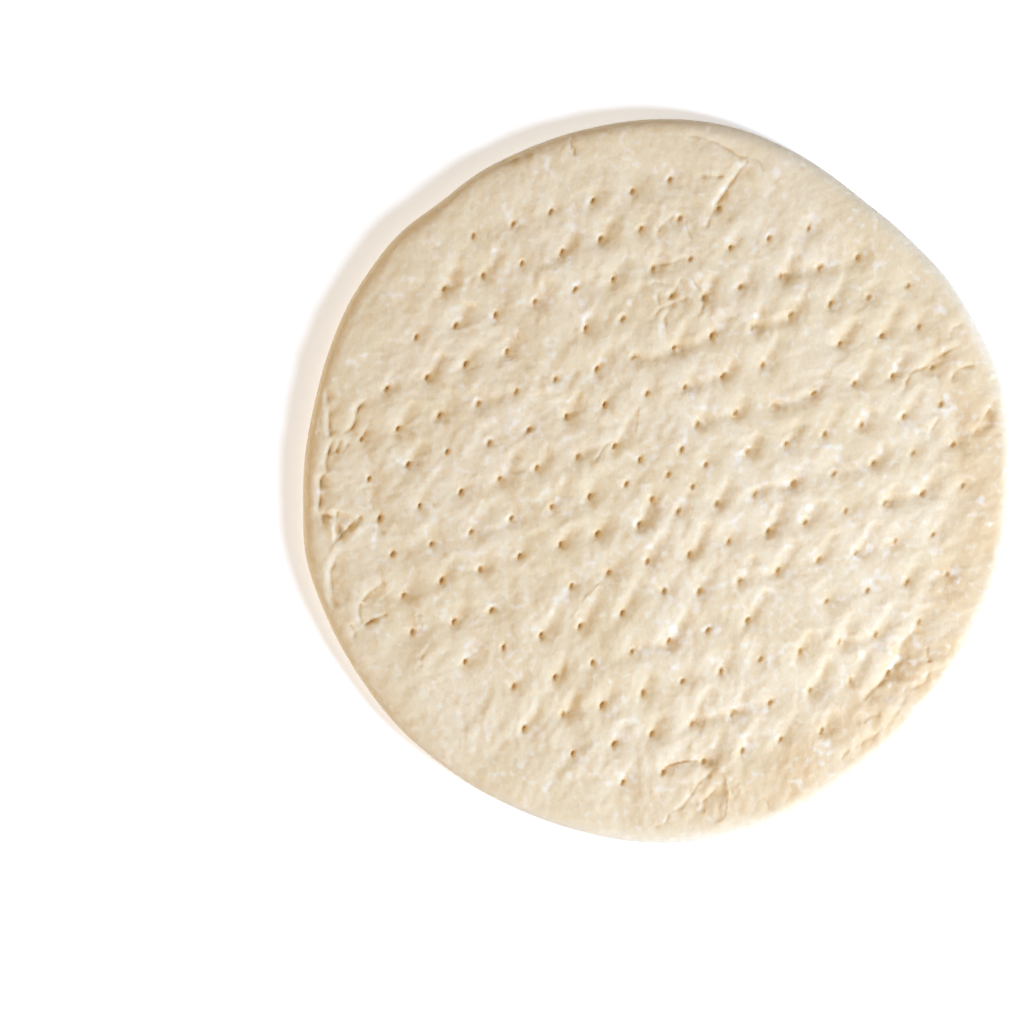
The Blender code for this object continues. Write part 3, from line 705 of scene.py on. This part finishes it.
def finishPiece(name, mesh, material):
    # centre and scale a mesh, and make it a piece of the object
    bmesh.ops.translate(mesh, verts=mesh.verts, vec=centring())
    bmesh.ops.scale(mesh, verts=mesh.verts, vec=(mm, mm, mm))
    data = bpy.data.meshes.new(name)
    mesh.to_mesh(data)
    mesh.free()
    data.shade_smooth()
    data.materials.append(material)
    piece = bpy.data.objects.new(name, data)
    bpy.context.scene.collection.objects.link(piece)
    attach(piece, "root")
    return piece


def makeDough(material):
    mesh = bmesh.new()
    for name in ("level", *doughLayers):
        mesh.verts.layers.float.new(name)
    laySheet(mesh, base["topCells"], base["edgeRound"])
    places = [pin["place"] for pin in doughPins.values()]
    lines = [line for line, *_ in doughCreases]
    for holeReach, creaseReach in base["refine"]:
        refineSheet(mesh, holeReach, places, lines, creaseReach)
    foot = rollEdge(mesh)
    closeUnderside(mesh, foot)
    setHeights(mesh)
    bmesh.ops.recalc_face_normals(mesh, faces=mesh.faces)
    triangles = sum(len(face.verts) - 2 for face in mesh.faces)
    openEdges = sum(not edge.is_manifold for edge in mesh.edges)
    print(f"dough: {triangles} triangles, {openEdges} open edges")
    return finishPiece("dough", mesh, material)


def makeGrains(material):
    draws = random.Random(flour["seed"] + 2)
    mesh = bmesh.new()
    rise = mesh.verts.layers.float.new("rise")
    middles = []
    for number in range(flour["grains"]):
        x, y = flourClusters[number % len(flourClusters)]
        x += draws.gauss(0, flour["grainSpread"])
        y += draws.gauss(0, flour["grainSpread"])
        size = draws.uniform(*flour["grainSize"])
        stretch = draws.uniform(*flour["grainStretch"])
        turn = draws.uniform(0, math.pi)
        verts = bmesh.ops.create_icosphere(mesh, subdivisions=1, radius=size)["verts"]
        for vert in verts:
            vert.co *= draws.uniform(*flour["grainWaver"])
            along, across = vert.co.x * stretch, vert.co.y
            middles.append((x, y))
            vert[rise] = vert.co.z * flour["grainFlat"]
            vert.co.x = x + along * math.cos(turn) - across * math.sin(turn)
            vert.co.y = y + along * math.sin(turn) + across * math.cos(turn)
    middles = np.array(middles)
    height, hole, _, _ = topSurface(middles)
    height -= holeDrop(middles, hole)
    for vert, z in zip(mesh.verts, height):
        vert.co.z = z + vert[rise]
    print(f"flour grains: {sum(len(face.verts) - 2 for face in mesh.faces)} triangles")
    return finishPiece("flour_grains", mesh, material)


def fromHex(text):
    # an sRGB hex colour as linear light
    values = [int(text[i:i + 2], 16) / 255 for i in (1, 3, 5)]
    linear = [v / 12.92 if v <= 0.04045 else ((v + 0.055) / 1.055) ** 2.4 for v in values]
    return (*linear, 1.0)


def addNode(tree, kind, settings, inputs):
    # one node with its settings, and its inputs as values or as links from other nodes
    made = tree.nodes.new("ShaderNode" + kind)
    for name, value in settings.items():
        setattr(made, name, value)
    for key, value in inputs.items():
        if isinstance(value, bpy.types.NodeSocket):
            tree.links.new(value, made.inputs[key])
        else:
            made.inputs[key].default_value = value
    return made


def newMaterial(name):
    material = bpy.data.materials.new(name)
    material.use_nodes = True
    return material, material.node_tree, material.node_tree.nodes["Principled BSDF"]


doughLook = {
    "cream": "#EADAB9",
    "paleCream": "#EEE0C4",
    "warmCream": "#E6D2AE",
    "moistAndShadedCream": "#DEC59A",      # moister and darker down in the valleys, where no flour lies; partly painted shade
    "rolledEdge": "#E9E2D5",      # drier and paler, with flour rubbed into it
    # browner towards the lower right, partly baking and partly painted shade
    "toastedAndShaded": "#E5C89C",
    "bakedSpot": "#D6B486",
    "flourWhite": "#F5EDDE",
    # the hole colours are partly the crumb's own and partly painted shade in the pits
    "holeLipShade": "#E1C79D",
    "hole": "#CEB892",
    # painted shade down the sharp crease lines
    "creaseShadeLine": "#B89A69",
    "patterns": {                 # size, detail and roughness of each noise
        "patches": (34.0, 2.0, 0.5),
        "mottle": (4.0, 3.0, 0.5),
        "spots": (26.0, 4.0, 0.6),
        "haze": (20.0, 2.0, 0.5),
        "powder": (3.2, 0.5, 0.5),
        "pimples": (2.6, 2.0, 0.5),
        "grain": (1.1, 3.0, 0.6),  # the skin's own grain is too fine to show, so this is coarser
    },
    "spans": {                    # values between which each of these comes up
        "patches": (0.35, 0.65),
        "mottle": (0.5, 0.8),
        "spots": (0.5, 0.68),
        "haze": (0.4, 0.7),
        "lip": (0.02, 0.4),
        "core": (0.3, 0.95),
    },
    "strengths": {"valley": 0.45, "rolled": 0.8, "crease": 0.85},
    "flourShares": {"dust": 0.31, "haze": 0.06},  # what each adds to the powder
    "flourSpan": (0.54, 1.0),
    "bumps": {"pimples": 0.31, "grain": 0.075, "flour": 0.05},
    "roughness": 0.82,
    "refraction": 1.45,
    "shine": 0.3,
    "scatterShare": 0.85,
    "softScatter": 2.0,           # how far light creeps through the crumb: red far, blue hardly
    "scatterByColour": (1.0, 0.55, 0.25),
}


# Par-baked wheat dough: a dry, matt skin that lets a little light creep under it,
# cream all over, with tan painted shade only down in the pin holes and along the sharp creases.
def parBakedDough():
    material, tree, shader = newMaterial("parBakedDough")
    where = addNode(tree, "TexCoord", {}, {}).outputs["Object"]
    shares = {}
    for name in doughLayers:
        shares[name] = addNode(tree, "Attribute", {"attribute_name": name}, {}).outputs["Fac"]
    for name, (size, detail, roughness) in doughLook["patterns"].items():
        shares[name] = addNode(tree, "TexNoise", {}, {
            "Vector": where, "Scale": 1.0 / (size * mm), "Detail": detail, "Roughness": roughness,
        }).outputs["Fac"]

    shares["lip"] = shares["core"] = shares["hole"]
    for name, (low, high) in doughLook["spans"].items():
        shares[name] = addNode(tree, "MapRange", {"interpolation_type": "SMOOTHSTEP"}, {
            "Value": shares[name], "From Min": low, "From Max": high,
        }).outputs[0]
    factors = {**doughLook["strengths"], "spots": shares["underside"]}  # the underside alone has spots
    for name, factor in factors.items():
        shares[name] = addNode(tree, "Math", {"operation": "MULTIPLY"}, {
            0: shares[name], 1: factor,
        }).outputs[0]

    thick = shares["powder"]
    for name, part in doughLook["flourShares"].items():
        thick = addNode(tree, "Math", {"operation": "MULTIPLY_ADD"}, {
            0: shares[name], 1: part, 2: thick,
        }).outputs[0]
    low, high = doughLook["flourSpan"]
    shares["flour"] = addNode(tree, "MapRange", {"interpolation_type": "SMOOTHSTEP"}, {
        "Value": thick, "From Min": low, "From Max": high,
    }).outputs[0]

    colour = fromHex(doughLook["cream"])
    for share, name in (
        ("patches", "paleCream"), ("mottle", "warmCream"), ("valley", "moistAndShadedCream"),
        ("rolled", "rolledEdge"), ("toastAndShade", "toastedAndShaded"), ("spots", "bakedSpot"),
        ("flour", "flourWhite"), ("lip", "holeLipShade"), ("core", "hole"), ("crease", "creaseShadeLine"),
    ):
        colour = addNode(tree, "Mix", {"data_type": "RGBA"}, {
            0: shares[share], 6: colour, 7: fromHex(doughLook[name]),
        }).outputs[2]

    below = {}
    for name, height in doughLook["bumps"].items():
        bump = addNode(tree, "Bump", {}, {"Distance": height * mm, "Height": shares[name], **below})
        below = {"Normal": bump.outputs["Normal"]}

    tree.links.new(colour, shader.inputs["Base Color"])
    tree.links.new(bump.outputs["Normal"], shader.inputs["Normal"])
    shader.inputs["Roughness"].default_value = doughLook["roughness"]
    shader.inputs["IOR"].default_value = doughLook["refraction"]
    shader.inputs["Specular IOR Level"].default_value = doughLook["shine"]
    shader.subsurface_method = "BURLEY"
    shader.inputs["Subsurface Weight"].default_value = doughLook["scatterShare"]
    shader.inputs["Subsurface Scale"].default_value = doughLook["softScatter"] * mm
    shader.inputs["Subsurface Radius"].default_value = doughLook["scatterByColour"]
    return material


flourLook = {
    "white": "#E9E1D3",
    "cream": "#E8DCC6",
    "tintSize": 6.0,
    "tintSpan": (0.35, 0.65),
    "roughness": 0.9,
    "shine": 0.2,
}


# Milled wheat flour and semolina: dry, matt, off-white grains, some of them creamier.
def flourGrain():
    material, tree, shader = newMaterial("flourGrain")
    where = addNode(tree, "TexCoord", {}, {}).outputs["Object"]
    tint = addNode(tree, "TexNoise", {}, {
        "Vector": where, "Scale": 1.0 / (flourLook["tintSize"] * mm), "Detail": 2.0,
    }).outputs["Fac"]
    low, high = flourLook["tintSpan"]
    tint = addNode(tree, "MapRange", {"interpolation_type": "SMOOTHSTEP"}, {
        "Value": tint, "From Min": low, "From Max": high,
    }).outputs[0]
    colour = addNode(tree, "Mix", {"data_type": "RGBA"}, {
        0: tint, 6: fromHex(flourLook["white"]), 7: fromHex(flourLook["cream"]),
    }).outputs[2]
    tree.links.new(colour, shader.inputs["Base Color"])
    shader.inputs["Roughness"].default_value = flourLook["roughness"]
    shader.inputs["Specular IOR Level"].default_value = flourLook["shine"]
    return material


stage = {
    "floorSize": 30.0,
    "floorDrop": 0.3,
    "floorColour": "#F7F7F6",
    "floorRoughness": 0.9,
    "floorGlow": 0.42,            # the sweep is lit from below, so that shadows on it stay faint
    "glowColour": "#E8F2FF",
    "cameraHeight": 1.5,
    "sensorWidth": 36.0,
    "cameraPlace": (-0.0613, -0.0131),
    "viewWidth": 0.4328,          # how much of the floor the photo's frame is across
    "keyTurn": -30.0,
    "keyRise": 34.0,
    "keyDistance": 1.2,
    "keySize": 0.34,
    "keyPower": 20.35,
    "keyColour": "#CFE3FF",
    "fillPlace": (-1.65, -0.15, 0.9),
    "fillSize": 1.2,
    "fillPower": 11.0,
    "fillColour": "#FFE2B2",
    "worldColour": "#FFE3BE",
    "worldStrength": 0.33,
}


def makeStage():
    mesh = bmesh.new()
    bmesh.ops.create_grid(mesh, x_segments=1, y_segments=1, size=stage["floorSize"] / 2)
    bmesh.ops.translate(mesh, verts=mesh.verts, vec=(0, 0, -stage["floorDrop"] * mm))
    data = bpy.data.meshes.new("floor")
    mesh.to_mesh(data)
    mesh.free()
    material, _, shader = newMaterial("paleFloor")
    shader.inputs["Base Color"].default_value = fromHex(stage["floorColour"])
    shader.inputs["Roughness"].default_value = stage["floorRoughness"]
    shader.inputs["Emission Color"].default_value = fromHex(stage["glowColour"])
    shader.inputs["Emission Strength"].default_value = stage["floorGlow"]
    data.materials.append(material)
    floor = bpy.data.objects.new("floor", data)
    bpy.context.scene.collection.objects.link(floor)

    view = bpy.data.cameras.new("camera")
    view.sensor_width = stage["sensorWidth"]
    view.lens = stage["sensorWidth"] * stage["cameraHeight"] / stage["viewWidth"]
    camera = bpy.data.objects.new("camera", view)
    camera.location = (*stage["cameraPlace"], stage["cameraHeight"])
    bpy.context.scene.collection.objects.link(camera)
    bpy.context.scene.camera = camera

    turn, rise = math.radians(stage["keyTurn"]), math.radians(stage["keyRise"])
    level = math.cos(rise)
    towards = Vector((math.cos(turn) * level, math.sin(turn) * level, math.sin(rise)))
    addLight("key", towards * stage["keyDistance"])
    addLight("fill", Vector(stage["fillPlace"]))

    world = bpy.data.worlds.new("softRoom")
    world.use_nodes = True
    background = world.node_tree.nodes["Background"]
    background.inputs["Color"].default_value = fromHex(stage["worldColour"])
    background.inputs["Strength"].default_value = stage["worldStrength"]
    bpy.context.scene.world = world
    bpy.context.scene.view_settings.view_transform = "Standard"


def addLight(name, place):
    # a round soft lamp that faces the middle of the dough
    lamp = bpy.data.lights.new(name + "Light", "AREA")
    lamp.shape = "DISK"
    lamp.size = stage[name + "Size"]
    lamp.energy = stage[name + "Power"]
    lamp.color = fromHex(stage[name + "Colour"])[:3]
    light = bpy.data.objects.new(name + "Light", lamp)
    light.location = place
    light.rotation_euler = place.to_track_quat("Z", "Y").to_euler()
    bpy.context.scene.collection.objects.link(light)


makeStage()
print("stage set")
dough = makeDough(parBakedDough())
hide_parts(base["node"])
makeGrains(flourGrain())
